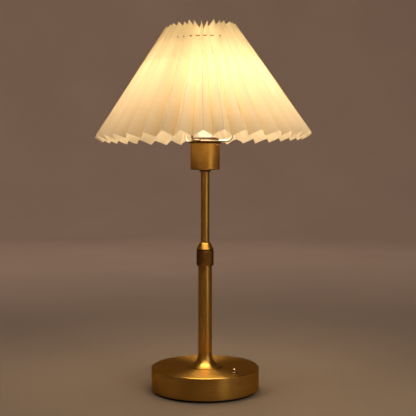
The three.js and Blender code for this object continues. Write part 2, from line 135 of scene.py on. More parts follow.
def mesh_object(name, verts, faces, sharp_angle=None):
    mesh = bpy.data.meshes.new(name)
    mesh.from_pydata([tuple(v) for v in verts], [], faces)
    mesh.validate()
    if sharp_angle is not None:
        mesh.shade_smooth()
        mesh.set_sharp_from_angle(angle=math.radians(sharp_angle))
    made = bpy.data.objects.new(name, mesh)
    bpy.context.scene.collection.objects.link(made)
    return made


def rounded(points, closed=True, steps=5):
    """The outline with each corner rounded by a curve of about its fillet. A point is (r, z, fillet)."""
    out = []
    count = len(points)
    for i, (r, z, fillet) in enumerate(points):
        inside = closed or 0 < i < count - 1
        here = Vector((r, z))
        if fillet <= 0 or not inside:
            out.append((r, z))
            continue
        back = (Vector(points[i - 1][:2]) - here)
        ahead = (Vector(points[(i + 1) % count][:2]) - here)
        half = back.angle(ahead) / 2
        reach = min(fillet / math.tan(half), back.length * 0.49, ahead.length * 0.49)
        start = here + back.normalized() * reach
        end = here + ahead.normalized() * reach
        for step in range(steps + 1):
            t = step / steps
            point = start.lerp(here, t).lerp(here.lerp(end, t), t)
            out.append((point.x, point.y))
    return out


def turned(name, points, closed=True, segments=160, wave=None, sharp_angle=35):
    """A turned solid about Z. An open outline starts and ends on the axis.
    wave(r, z, angle) gives the radius again, for knurls and flutes."""
    angles = np.linspace(0, 2 * math.pi, segments, endpoint=False)
    verts = []
    rings = []
    for r, z in points:
        if r < 1e-7:
            rings.append([len(verts)])
            verts.append((0, 0, z))
            continue
        rings.append(list(range(len(verts), len(verts) + segments)))
        for angle in angles:
            radius = wave(r, z, angle) if wave else r
            verts.append((radius * math.cos(angle), radius * math.sin(angle), z))
    faces = []
    pairs = list(zip(rings, rings[1:]))
    if closed:
        pairs.append((rings[-1], rings[0]))
    for low, high in pairs:
        for i in range(segments):
            j = (i + 1) % segments
            if len(low) == 1 and len(high) == 1:
                continue
            if len(low) == 1:
                faces.append((low[0], high[j], high[i]))
            elif len(high) == 1:
                faces.append((low[i], low[j], high[0]))
            else:
                faces.append((low[i], low[j], high[j], high[i]))
    return mesh_object(name, verts, faces, sharp_angle)


def tube_along(name, path, radius, sides=16, closed=False, profile=None):
    """A round wire along a list of points, its section carried without twist.
    profile(share, angle) gives the radius again, for twisted cord."""
    path = [Vector(p) for p in path]
    count = len(path)
    tangents = []
    for i in range(count):
        before = path[i - 1] if closed or i > 0 else path[0]
        after = path[(i + 1) % count] if closed or i < count - 1 else path[-1]
        tangents.append((after - before).normalized())
    start = Vector((0, 0, 1)) if abs(tangents[0].z) < 0.9 else Vector((0, 1, 0))
    normal = (start - tangents[0] * start.dot(tangents[0])).normalized()
    verts = []
    for i, (point, tangent) in enumerate(zip(path, tangents)):
        normal = (normal - tangent * normal.dot(tangent)).normalized()
        side = tangent.cross(normal)
        for k in range(sides):
            angle = 2 * math.pi * k / sides
            size = profile(i / count, angle) if profile else radius
            verts.append(point + (normal * math.cos(angle) + side * math.sin(angle)) * size)
    faces = []
    for i in range(count if closed else count - 1):
        j = (i + 1) % count
        for k in range(sides):
            n = (k + 1) % sides
            faces.append((i * sides + k, i * sides + n, j * sides + n, j * sides + k))
    if not closed:
        faces.append(tuple(range(sides - 1, -1, -1)))
        faces.append(tuple((count - 1) * sides + k for k in range(sides)))
    return mesh_object(name, verts, faces, 50)


def place(piece, material, body, slot, *nodes):
    """Gives a piece its material and body, and hides the CAD nodes that it stands for. The slot is not used.
    """
    piece.data.materials.append(material)
    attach(piece, body)
    if nodes:
        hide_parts(*nodes)
    return piece


def radii(node):
    """(outer radius, bottom, top) of a turned CAD node on the axis of the stem."""
    low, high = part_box(node)
    return high.x, low.z, high.z


# ------------------------------------------------------------------ material helper

class Nodes:
    """One procedural material, built node by node."""

    def __init__(self, name):
        self.material = bpy.data.materials.new(name)
        self.material.use_nodes = True
        self.tree = self.material.node_tree
        self.shader = self.tree.nodes["Principled BSDF"]
        self.output = self.tree.nodes["Material Output"]

    def plain(self, colour, roughness, metallic=0.0, **sockets):
        self.shader.inputs["Base Color"].default_value = (*colour, 1)
        self.shader.inputs["Roughness"].default_value = roughness
        self.shader.inputs["Metallic"].default_value = metallic
        for name, value in sockets.items():
            self.shader.inputs[name.replace("_", " ")].default_value = value

    def add(self, kind, **values):
        node = self.tree.nodes.new(kind)
        for name, value in values.items():
            setattr(node, name, value)
        return node

    def wire(self, source, socket):
        self.tree.links.new(source, socket)

    def link(self, source, socket):
        self.tree.links.new(source, self.shader.inputs[socket])

    def object_coordinates(self):
        return self.add("ShaderNodeTexCoord").outputs["Object"]

    def scaled(self, vector, scale):
        node = self.add("ShaderNodeVectorMath", operation="MULTIPLY")
        self.wire(vector, node.inputs[0])
        node.inputs[1].default_value = scale
        return node.outputs[0]

    def math(self, operation, first, second=None):
        node = self.add("ShaderNodeMath", operation=operation)
        for socket, value in zip(node.inputs, (first, second)):
            if value is None:
                continue
            if isinstance(value, (int, float)):
                socket.default_value = value
            else:
                self.wire(value, socket)
        return node.outputs[0]

    def noise(self, vector, scale, detail=2.0, roughness=0.5):
        node = self.add("ShaderNodeTexNoise")
        self.wire(vector, node.inputs["Vector"])
        node.inputs["Scale"].default_value = scale
        node.inputs["Detail"].default_value = detail
        node.inputs["Roughness"].default_value = roughness
        return node.outputs["Fac"]

    def ramp(self, value, *stops):
        node = self.add("ShaderNodeValToRGB")
        elements = node.color_ramp.elements
        while len(elements) < len(stops):
            elements.new(0.5)
        for element, (place_on, colour) in zip(elements, stops):
            element.position = place_on
            element.color = (*colour, 1)
        self.wire(value, node.inputs["Fac"])
        return node.outputs["Color"]

    def span(self, value, low_in, high_in, low_out, high_out):
        node = self.add("ShaderNodeMapRange")
        self.wire(value, node.inputs["Value"])
        for name, number in zip(("From Min", "From Max", "To Min", "To Max"),
                                (low_in, high_in, low_out, high_out)):
            node.inputs[name].default_value = number
        return node.outputs["Result"]

    def mix(self, share, first, second, blend="MIX"):
        node = self.add("ShaderNodeMix", data_type="RGBA", blend_type=blend)
        sockets = [s for s in node.inputs if s.enabled]
        for socket, value in zip(sockets, (share, first, second)):
            if isinstance(value, (int, float)):
                socket.default_value = value
            elif isinstance(value, tuple):
                socket.default_value = (*value, 1)
            else:
                self.wire(value, socket)
        return [s for s in node.outputs if s.enabled][0]

    def bump(self, height, distance, strength):
        node = self.add("ShaderNodeBump")
        node.inputs["Distance"].default_value = distance
        node.inputs["Strength"].default_value = strength
        self.wire(height, node.inputs["Height"])
        self.link(node.outputs["Normal"], "Normal")
        return node.outputs["Normal"]

    def turning_marks(self, lines_per_metre, wander):
        """Coordinates that run round the axis of the lamp, so that fine noise becomes turning marks:
        rings on an upright wall and circles on a flat top."""
        flat = self.scaled(self.object_coordinates(), (1, 1, 0))
        unit = self.add("ShaderNodeVectorMath", operation="NORMALIZE")
        self.wire(flat, unit.inputs[0])
        length = self.add("ShaderNodeVectorMath", operation="LENGTH")
        self.wire(flat, length.inputs[0])
        split = self.add("ShaderNodeSeparateXYZ")
        self.wire(self.object_coordinates(), split.inputs[0])
        along = self.math("MULTIPLY", self.math("ADD", length.outputs["Value"], split.outputs["Z"]),
                          lines_per_metre)
        round_split = self.add("ShaderNodeSeparateXYZ")
        self.wire(self.scaled(unit.outputs[0], (wander, wander, 0)), round_split.inputs[0])
        join = self.add("ShaderNodeCombineXYZ")
        self.wire(round_split.outputs["X"], join.inputs["X"])
        self.wire(round_split.outputs["Y"], join.inputs["Y"])
        self.wire(along, join.inputs["Z"])
        return join.outputs[0]


def brushed_brass(name, dark, light, roughness, patina=0.5):
    """Brass brushed round the axis, with a soft patina and darker marks along the brushing."""
    kit = Nodes(name)
    kit.plain(light, roughness, 1.0, Anisotropic=0.8, Anisotropic_Rotation=0.25,
              Specular_Tint=(0.66, 0.52, 0.34, 1))
    tangent = kit.add("ShaderNodeTangent", direction_type="RADIAL", axis="Z")
    kit.link(tangent.outputs["Tangent"], "Tangent")
    fine = kit.noise(kit.turning_marks(5200, 2.2), scale=1, detail=3, roughness=0.65)
    bands = kit.noise(kit.turning_marks(1500, 1.0), scale=1, detail=2)
    cloud = kit.noise(kit.object_coordinates(), scale=30, detail=4, roughness=0.5)
    base = kit.ramp(cloud, (0.20, dark), (0.45, tuple(0.5 * (a + b) for a, b in zip(dark, light))),
                    (0.72, light))
    streaked = kit.mix(patina, base, kit.ramp(bands, (0.3, dark), (0.65, light)))
    brushed = kit.mix(0.3, streaked, kit.ramp(fine, (0.32, dark), (0.62, light)))
    kit.link(brushed, "Base Color")
    rough = kit.math("ADD", kit.span(fine, 0.25, 0.75, -0.06, 0.09),
                     kit.span(cloud, 0.3, 0.7, 0.05, -0.03))
    kit.link(kit.math("ADD", rough, roughness), "Roughness")
    kit.bump(fine, 0.00003, 0.35)
    return kit.material


def wire_metal(name, colour, roughness):
    """Plated or bare metal with a faint cloudiness."""
    kit = Nodes(name)
    kit.plain(colour, roughness, 1.0)
    cloud = kit.noise(kit.object_coordinates(), scale=120, detail=4)
    kit.link(kit.ramp(cloud, (0.3, tuple(c * 0.82 for c in colour)), (0.7, colour)), "Base Color")
    fine = kit.noise(kit.object_coordinates(), scale=900, detail=3)
    kit.link(kit.span(fine, 0.3, 0.7, roughness * 0.7, roughness * 1.4), "Roughness")
    kit.bump(fine, 0.00002, 0.4)
    return kit.material


def speckled(name, colour, roughness, grain, depth, contrast=0.75, metallic=0.0, **sockets):
    """Moulded or cast surfaces: a fine grain in colour, roughness and height."""
    kit = Nodes(name)
    kit.plain(colour, roughness, metallic, **sockets)
    fine = kit.noise(kit.object_coordinates(), scale=grain, detail=4, roughness=0.6)
    cloud = kit.noise(kit.object_coordinates(), scale=grain / 12, detail=3)
    dark = tuple(c * contrast for c in colour)
    mixed = kit.mix(0.5, kit.ramp(fine, (0.3, dark), (0.65, colour)),
                    kit.ramp(cloud, (0.35, dark), (0.65, colour)))
    kit.link(mixed, "Base Color")
    kit.link(kit.span(fine, 0.3, 0.7, roughness * 0.85, min(1.0, roughness * 1.15)), "Roughness")
    kit.bump(fine, depth, 0.6)
    return kit.material


def pleated_cloth_material():
    """Woven ivory cloth on a stiff white backing, which lets part of the light through.
    The map named cloth holds metres along and down the cloth."""
    kit = Nodes("shade_cloth")
    kit.plain((0.92, 0.85, 0.70), 0.85, Sheen_Weight=0.2, Sheen_Roughness=0.5)
    flat = kit.add("ShaderNodeUVMap", uv_map="cloth").outputs["UV"]
    split = kit.add("ShaderNodeSeparateXYZ")
    kit.wire(flat, split.inputs[0])
    across = split.outputs["X"]
    down = split.outputs["Y"]
    pitch = 0.00055
    warp = kit.math("SINE", kit.math("MULTIPLY", across, 2 * math.pi / pitch))
    weft = kit.math("SINE", kit.math("MULTIPLY", down, 2 * math.pi / pitch))
    weave = kit.math("MULTIPLY", warp, weft)
    slub_down = kit.noise(kit.scaled(flat, (1400, 45, 0)), scale=1, detail=3)
    slub_across = kit.noise(kit.scaled(flat, (60, 1500, 0)), scale=1, detail=2)
    slubs = kit.math("ADD", kit.math("MULTIPLY", slub_down, 0.6), kit.math("MULTIPLY", slub_across, 0.4))
    height = kit.math("ADD", kit.math("MULTIPLY", weave, 0.25), slubs)
    normal = kit.bump(height, 0.0001, 0.35)
    kit.link(kit.ramp(slubs, (0.36, (0.89, 0.81, 0.65)), (0.60, (0.93, 0.87, 0.73))), "Base Color")

    # 1 on an outer fold and 0 on an inner one
    turn = kit.math("FRACT", kit.math("MULTIPLY", across, 0.5 / FACET))
    outward = kit.math("MULTIPLY", kit.math("ABSOLUTE", kit.math("SUBTRACT", turn, 0.5)), 2.0)
    # painted shade in the colour that the light comes through: darker near each inner fold, more so towards
    # the hem, and thin dark lines along every fold
    low = kit.span(down, 0.03, 0.14, 0.25, 1.0)
    valley_painted_shade = kit.math("MULTIPLY", kit.span(outward, 0.0, 0.75, 1.0, 0.0), low)
    middle = kit.math("ABSOLUTE", kit.math("SUBTRACT", outward, 0.5))
    fold_line_painted_shade = kit.span(middle, 0.45, 0.49, 0.0, 1.0)
    doubled = kit.span(down, BAND_DEPTH - 0.0008, BAND_DEPTH + 0.0008, 1.0, 0.0)
    # painted shade: above the cord the colour that the light comes through turns a little warmer and darker
    crown = kit.span(down, 0.006, CORD_DEPTH + 0.003, 1.0, 0.0)

    shade = kit.ramp(slubs, (0.34, (0.94, 0.83, 0.67)), (0.62, (0.98, 0.89, 0.76)))
    for share, tint in ((doubled, (0.76, 0.81, 0.80)), (crown, (1.0, 0.97, 0.91)),
                        (valley_painted_shade, (0.82, 0.72, 0.49)), (fold_line_painted_shade, (0.80, 0.70, 0.50))):
        shade = kit.mix(share, shade, kit.mix(1.0, shade, tint, "MULTIPLY"))
    through = kit.add("ShaderNodeBsdfTranslucent")
    kit.wire(normal, through.inputs["Normal"])
    kit.wire(shade, through.inputs["Color"])

    blend = kit.add("ShaderNodeMixShader")
    blend.inputs["Fac"].default_value = 0.38
    kit.wire(kit.shader.outputs[0], blend.inputs[1])
    kit.wire(through.outputs[0], blend.inputs[2])
    kit.wire(blend.outputs[0], kit.output.inputs["Surface"])
    return kit.material


def twisted_cotton():
    """The brown cord, with a fuzz on it."""
    kit = Nodes("twisted_cotton")
    kit.plain((0.34, 0.18, 0.07), 0.95, Sheen_Weight=0.3)
    fuzz = kit.noise(kit.object_coordinates(), scale=2600, detail=3)
    kit.link(kit.ramp(fuzz, (0.3, (0.22, 0.11, 0.04)), (0.7, (0.42, 0.24, 0.10))), "Base Color")
    kit.bump(fuzz, 0.0001, 0.6)
    return kit.material


def glowing_opal():
    """The lit bulb's white glass."""
    kit = Nodes("opal_glass")
    kit.plain((0.96, 0.92, 0.84), 0.22, Coat_Weight=0.4)
    kit.shader.inputs["Emission Color"].default_value = (1.0, 0.80, 0.52, 1)
    kit.shader.inputs["Emission Strength"].default_value = 0.8
    frost = kit.noise(kit.object_coordinates(), scale=260, detail=3)
    kit.link(kit.span(frost, 0.3, 0.7, 0.18, 0.3), "Roughness")
    kit.bump(frost, 0.00002, 0.3)
    return kit.material


def clear_glass():
    """The glass stem inside the bulb."""
    kit = Nodes("clear_glass")
    kit.plain((0.97, 0.98, 0.98), 0.03, Transmission_Weight=1.0, IOR=1.5)
    seed = kit.noise(kit.object_coordinates(), scale=300, detail=2)
    kit.bump(seed, 0.00002, 0.3)
    return kit.material


# ------------------------------------------------------------------ foot

def make_foot(brass, rubber):
    """The spun shell, the pad under it and the flare that rises to the stem.
    The shell is turned whole: it lacks the CAD shell's holes for the switch and the cord inlet."""
    radius, bottom, top = radii("base_shell")
    bore = 5.3 * MM
    wall = 1.2 * MM
    shell = turned("foot_shell", rounded([
        (radius - wall, bottom, 0),
        (radius, bottom, 0.5 * MM),
        (radius, top, 1.7 * MM),
        (bore, top, 0),
        (bore, top - wall, 0),
        (radius - wall, top - wall, 0.5 * MM),
    ], steps=8), segments=288)
    place(shell, brass, "base", "aged_brass", "base_shell")

    radius, bottom, top = radii("base_pad")
    hole = 16 * MM
    pad = turned("foot_pad", rounded([
        (hole, bottom, 0.4 * MM),
        (radius, bottom, 0.8 * MM),
        (radius, top, 0.3 * MM),
        (hole, top, 0.3 * MM),
    ]), segments=192)
    place(pad, rubber, "base", "pad_rubber", "base_pad")

    radius, bottom, top = radii("foot_flare")
    neck = radii("lower_tube")[0]
    lip = 0.7 * MM
    curve = []
    for step in range(25):
        angle = math.radians(270 - 90 * step / 24)
        r = radius + (radius - neck) * math.cos(angle)
        z = top + (top - bottom - lip) * math.sin(angle)
        curve.append((r, z, 0))
    curve[0] = (radius, bottom + lip, 0.35 * MM)
    outline = [(bore, bottom, 0), (radius, bottom, 0.15 * MM), *curve, (bore, top, 0)]
    flare = turned("foot_flare_turned", rounded(outline), segments=192, sharp_angle=50)
    place(flare, brass, "base", "aged_brass", "foot_flare")


def offset_piece(piece, x, y):
    """Moves a piece that was turned about the stem's axis to its own place."""
    piece.data.transform(Matrix.Translation((x, y, 0)))
    return piece


def make_switch(bright, ring_shade_nickel):
    """The ring in the foot's top and the domed button that travels in it.
    Both pass through the top of the shell, which has no hole there."""
    low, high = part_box("switch_bezel")
    x, y = (low.x + high.x) / 2, (low.y + high.y) / 2
    radius = (high.x - low.x) / 2
    floor = radii("base_shell")[2]
    button_low, button_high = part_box("switch_button")
    button_radius = (button_high.x - button_low.x) / 2
    bore = button_radius + 0.3 * MM
    thread = radius - 0.6 * MM
    bezel = turned("switch_ring", rounded([
        (bore, low.z, 0),
        (thread, low.z, 0),
        (thread, floor + 0.3 * MM, 0),
        (radius, floor + 0.3 * MM, 0.1 * MM),
        (radius, floor + 0.8 * MM, 0.3 * MM),
        (radius - 0.5 * MM, high.z, 0.3 * MM),
        (bore + 0.3 * MM, high.z, 0.2 * MM),
        (bore, high.z - 0.3 * MM, 0.1 * MM),
    ]), segments=96)
    # the ring's far darker nickel is painted shade round the button
    place(offset_piece(bezel, x, y), ring_shade_nickel, "base", "dark_nickel", "switch_bezel")

    shoulder = button_high.z - button_radius
    foot = floor - 1.4 * MM
    dome = [(button_radius * math.cos(a), shoulder + button_radius * math.sin(a))
            for a in np.linspace(0, math.pi / 2, 14)]
    dome[-1] = (0, button_high.z)
    stem = 1.3 * MM
    outline = [(0, button_low.z), (stem, button_low.z), (stem, foot),
               (button_radius - 0.2 * MM, foot), (button_radius, foot + 0.2 * MM), *dome]
    button = turned("switch_dome", outline, closed=False, segments=64)
    place(offset_piece(button, x, y), bright, "button", "dark_nickel", "switch_button")


def make_grommet(rubber):
    """The rubber bush of the cord inlet, at the back of the foot. The shell's wall crosses its bore."""
    low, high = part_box("cord_grommet")
    middle = (low.z + high.z) / 2
    flange = (high.z - low.z) / 2
    wall = radii("base_shell")[0]
    bore = 3.2 * MM
    outline = rounded([
        (bore, -3.2 * MM, 0.2 * MM),
        (flange - 0.1 * MM, -3.2 * MM, 0.4 * MM),
        (flange, -1.8 * MM, 0.1 * MM),
        (4.1 * MM, -1.7 * MM, 0),
        (4.1 * MM, 0.6 * MM, 0),
        (flange, 0.7 * MM, 0.3 * MM),
        (flange - 0.5 * MM, 2.0 * MM, 0.6 * MM),
        (bore + 0.4 * MM, 2.6 * MM, 0.4 * MM),
    ])
    grommet = turned("cord_bush", outline, segments=64)
    grommet.data.transform(Matrix.Translation((0, wall, middle)) @ Matrix.Rotation(-math.pi / 2, 4, "X"))
    place(grommet, rubber, "base", "grommet_rubber", "cord_grommet")


# ------------------------------------------------------------------ stem

def make_stem(brass):
    """The thick lower tube and the thin tube that slides in it."""
    radius, bottom, top = radii("lower_tube")
    tube = turned("stem_lower", rounded([
        (radius - 1 * MM, bottom, 0),
        (radius, bottom, 0.15 * MM),
        (radius, top, 0.2 * MM),
        (radius - 1 * MM, top, 0),
    ]), segments=128)
    place(tube, brass, "base", "aged_brass", "lower_tube")

    radius, bottom, top = radii("upper_tube")
    tube = turned("stem_upper", rounded([
        (radius - 0.8 * MM, bottom, 0),
        (radius, bottom, 0.15 * MM),
        (radius, top, 0.15 * MM),
        (radius - 0.8 * MM, top, 0),
    ]), segments=128)
    place(tube, brass, "mast", "aged_brass", "upper_tube")


def make_slack_lead(sheath):
    """The slack of the lead, coiled in the lower tube and open in the middle.
    The lead in the mast comes down inside the coil when the mast slides down."""
    low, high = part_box("lead_slack")
    wire_radius = 0.65 * MM
    coil_radius = high[0] - wire_radius
    turns = 14
    steps_per_turn = 16
    rise = high[2] - low[2] - 2 * wire_radius
    path = []
    for step in range(turns * steps_per_turn + 1):
        angle = 2 * math.pi * step / steps_per_turn
        height = low[2] + wire_radius + rise * step / (turns * steps_per_turn)
        path.append((coil_radius * math.cos(angle), coil_radius * math.sin(angle), height))
    coil = tube_along("slack_lead", path, wire_radius, sides=8)
    place(coil, sheath, "base", "lead_sheath", "lead_slack")


def make_collar(dark, brass):
    """The knurled clamp collar: a knurled barrel between two plain bands, a groove, and a cone on top."""
    radius, bottom, top = radii("clamp_collar")
    bore = 8.3 * MM
    knurl_low = bottom + 2.2 * MM
    knurl_high = top - 10.0 * MM
    ridges = 60
    slant = 900                     # radians per metre of height, for the crossing ridges
    depth = 0.28 * MM
    rows = [(radius, z, 0) for z in np.linspace(knurl_low, knurl_high, 40)]
    outline = rounded([
        (bore, bottom, 0.1 * MM),
        (radius - 0.8 * MM, bottom, 0.2 * MM),
        (radius - 0.05 * MM, bottom + 0.9 * MM, 0.2 * MM),
        (radius - 0.05 * MM, knurl_low - 0.25 * MM, 0.1 * MM),
        (radius - 0.35 * MM, knurl_low - 0.1 * MM, 0),
        *rows,
        (radius - 0.35 * MM, knurl_high + 0.1 * MM, 0),
        (radius - 0.55 * MM, knurl_high + 0.5 * MM, 0.1 * MM),
        (radius - 0.55 * MM, knurl_high + 1.1 * MM, 0.1 * MM),
        (radius - 0.05 * MM, knurl_high + 1.5 * MM, 0.15 * MM),
        (radius - 0.05 * MM, top - 7.0 * MM, 0.3 * MM),
        (6.5 * MM, top - 0.4 * MM, 0.4 * MM),
        (6.1 * MM, top, 0.2 * MM),
        (5.5 * MM, top, 0.1 * MM),
        (5.5 * MM, top - 1.2 * MM, 0),
        (bore, top - 10.5 * MM, 0),
    ])

    def knurled(r, z, angle):
        if r < radius - 1e-6:
            return r
        turn = (z - knurl_low) * slant
        first = abs(math.sin(ridges * angle / 2 + turn))
        second = abs(math.sin(ridges * angle / 2 - turn))
        return r - depth * (1 - min(first, second) ** 0.6)

    collar = turned("collar_knurled", outline, segments=480, wave=knurled, sharp_angle=60)
    place(collar, dark, "collar", "dark_brass", "clamp_collar")
    collar.data.materials.append(brass)
    cone_foot = top - 7.1 * MM
    for face in collar.data.polygons:
        if face.center.z > cone_foot:
            face.material_index = 1


# ------------------------------------------------------------------ lampholder

def make_holder(brass, dark, rim_shade_brass, brown, black, nickel):
    """From the bottom up: washer, cup, rim, the carrier's foot ring, ring nut and threaded sleeve."""
    radius, bottom, top = radii("top_washer")
    washer = turned("cup_nut", rounded([
        (4.2 * MM, bottom, 0),
        (radius, bottom, 0.35 * MM),
        (radius, top, 0.35 * MM),
        (4.2 * MM, top, 0),
    ]), segments=96)
    place(washer, dark, "mast", "dark_brass", "top_washer")

    radius, bottom, top = radii("holder_cup")
    wall = 1.2 * MM
    cup = turned("cup_spun", rounded([
        (4.2 * MM, bottom, 0),
        (radius, bottom, 1.6 * MM),
        (radius, top, 0.35 * MM),
        (radius - wall, top, 0.2 * MM),
        (radius - wall, bottom + wall, 1.0 * MM),
        (4.2 * MM, bottom + wall, 0),
    ], steps=8), segments=160)
    place(cup, brass, "mast", "aged_brass", "holder_cup")

    # the rim's far darker brass is painted shade, for its underside seen from below
    radius, bottom, top = radii("cup_flange")
    sleeve = radii("lampholder_body")[0] + 0.3 * MM
    flange = turned("cup_rim", rounded([
        (sleeve, bottom, 0),
        (radius, bottom, 0.3 * MM),
        (radius, top, 0.4 * MM),
        (sleeve, top, 0),
    ]), segments=128)
    place(flange, rim_shade_brass, "mast", "dark_brass", "cup_flange")

    radius, bottom, top = radii("carrier_ring")
    ring = turned("carrier_foot", rounded([
        (sleeve, bottom, 0.2 * MM),
        (radius, bottom, 0.5 * MM),
        (radius, top, 0.5 * MM),
        (sleeve, top, 0.2 * MM),
    ]), segments=128)
    place(ring, nickel, "mast", "nickel", "carrier_ring")

    radius, bottom, top = radii("ring_nut")
    flutes = 36

    def fluted(r, z, angle):
        return r - 0.25 * MM * max(0.0, math.cos(flutes * angle)) if r > radius - 0.3 * MM else r

    nut = turned("ring_nut_fluted", rounded([
        (sleeve, bottom, 0.1 * MM),
        (radius - 0.1 * MM, bottom, 0.3 * MM),
        (radius, bottom + 0.6 * MM, 0.2 * MM),
        (radius, top - 0.6 * MM, 0.2 * MM),
        (radius - 0.5 * MM, top, 0.3 * MM),
        (sleeve, top, 0.1 * MM),
    ]), segments=288, wave=fluted)
    place(nut, brown, "mast", "brown_plastic", "ring_nut")

    radius, bottom, top = radii("lampholder_body")
    thread_start = radii("ring_nut")[2] + 0.4 * MM
    pitch = 1.5 * MM
    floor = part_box("centre_contact")[0].z - 0.3 * MM
    outline = [(0, bottom), (radius - 1 * MM, bottom), (radius, bottom + 1 * MM)]
    z = thread_start
    while z < top - 1.6 * MM:
        outline += [(radius, z), (radius - 0.45 * MM, z + 0.5 * MM), (radius - 0.45 * MM, z + 0.7 * MM),
                    (radius, z + 1.2 * MM)]
        z += pitch
    bore = 8.3 * MM
    outline += [(radius, top - 0.5 * MM), (radius - 0.5 * MM, top), (bore + 0.3 * MM, top),
                (bore, top - 0.3 * MM), (bore, floor), (0, floor)]
    sleeve_piece = turned("holder_sleeve", outline, closed=False, segments=128)
    place(sleeve_piece, black, "mast", "black_plastic", "lampholder_body")


# ------------------------------------------------------------------ carrier, shade and cord

LEAN = math.radians(-1.0)
LEAN_FOOT = 0.290                   # height of the point that the lean turns about
LEAN_SIDE = -1.9 * MM
# how far down the slope the cloth's colour changes: above the cord, where a warmer, darker tint is painted
# shade, and where the doubled band ends
CORD_DEPTH = 12.1 * MM
BAND_DEPTH = 49.2 * MM


def lean(point, share=1.0):
    """The wire carrier and its shade sit a little to the left and lean, as a hand bent them.
    The share grows from 0 to 1 along the level part of a carrier arm."""
    x, y, z = point
    height = z - LEAN_FOOT
    angle = LEAN * share
    return (x * math.cos(angle) + height * math.sin(angle) + LEAN_SIDE * share, y,
            LEAN_FOOT - x * math.sin(angle) + height * math.cos(angle))


def arm_direction(node):
    """Unit vector, seen from above, from the axis towards the upright of a carrier arm."""
    co = np.array([v.co for v in frame["nodes"][node].data.vertices])
    top = co[co[:, 2] > co[:, 2].max() - 0.004].mean(0)
    return Vector((top[0], top[1])).normalized()


def make_carrier(nickel):
    """The hoop that the shade hangs on and the three bent wires that hold it up."""
    ring_r, ring_low, ring_high = radii("carrier_top_ring")
    wire = (ring_high - ring_low) / 2
    ring_z = (ring_low + ring_high) / 2
    middle = ring_r - wire
    turns = np.linspace(0, 2 * math.pi, 120, endpoint=False)
    path = [lean((middle * math.cos(a), middle * math.sin(a), ring_z)) for a in turns]
    hoop = tube_along("carrier_hoop", path, wire, sides=20, closed=True)
    place(hoop, nickel, "mast", "nickel", "carrier_top_ring")

    foot = radii("carrier_ring")[0] + 0.3 * MM
    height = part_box("carrier_arm_1")[0].z + wire
    bend = 6 * MM
    upright = 33.5 * MM
    for number in (1, 2, 3):
        node = f"carrier_arm_{number}"
        way = arm_direction(node)
        line = [(r, height) for r in np.linspace(foot, upright - bend, 8)]
        for angle in np.linspace(0, math.pi / 2, 14)[1:]:
            line.append((upright - bend + bend * math.sin(angle), height + bend - bend * math.cos(angle)))
        end = ring_low - 0.25 * MM
        for share in np.linspace(0, 1, 30)[1:]:
            line.append((upright + (middle - upright) * share, height + bend + (end - height - bend) * share))
        path = []
        for r, z in line:
            share = min(1.0, (r - foot) / (upright - bend - foot))
            path.append(lean((way.x * r, way.y * r, z), share))
        arm = tube_along(f"carrier_wire_{number}", path, wire, sides=20)
        place(arm, nickel, "mast", "nickel", node)


def fold_lines():
    """(r, z) of the outer and inner fold lines at the crown and at the hem, read from the CAD shade."""
    co = np.array([v.co for v in frame["nodes"]["shade_pleats"].data.vertices])
    r = np.hypot(co[:, 0], co[:, 1])
    z = co[:, 2]
    crown_out, hem_out, crown_in, hem_in = z.argmax(), r.argmax(), r.argmin(), z.argmin()
    return [np.array((r[i], z[i])) for i in (crown_out, hem_out, crown_in, hem_in)]


PLEATS = 36
FACET = 0.015                       # width of the cloth from one fold to the next
TRIM = 2.2 * MM                     # the CAD crown is about this much too high, so the cloth is cut lower
SQUEEZE = 2.2 * MM                  # how far the crown is pushed in on the left
WALL_NORMAL = (0.83, 0.56)          # (r, z) straight out of the shade's wall, nearly
# how uneven the folds are: turns in radians round the axis, the rest in metres
OUTER_CROWN_TURN = 0.03
OUTER_HEM_TURN = 0.010
OUTER_PUSH = 0.9 * MM
INNER_CROWN_TURN = 0.020
INNER_HEM_TURN = 0.009
INNER_CROWN_PUSH = 0.5 * MM
INNER_HEM_PUSH = 0.6 * MM
FOLD_RIPPLE = 0.16 * MM
FOLD_WANDER = 0.22 * MM
FACET_BOW = 0.45 * MM
# the holes for the cord, as shares of the way across a facet
HOLE_HALF = 0.055
HOLE_BORDER = 0.17
HOLE_COLUMN = 4                     # the strip of each facet that the holes are cut in
CORD_HALF_TURNS = 150               # of the cord's two strands, once round


def smooth_random(rng, rows, knots, size):
    """A random line of the given size along the slope, straight between its knots."""
    return np.interp(rows, np.linspace(0, 1, knots), rng.normal(0, size, knots))


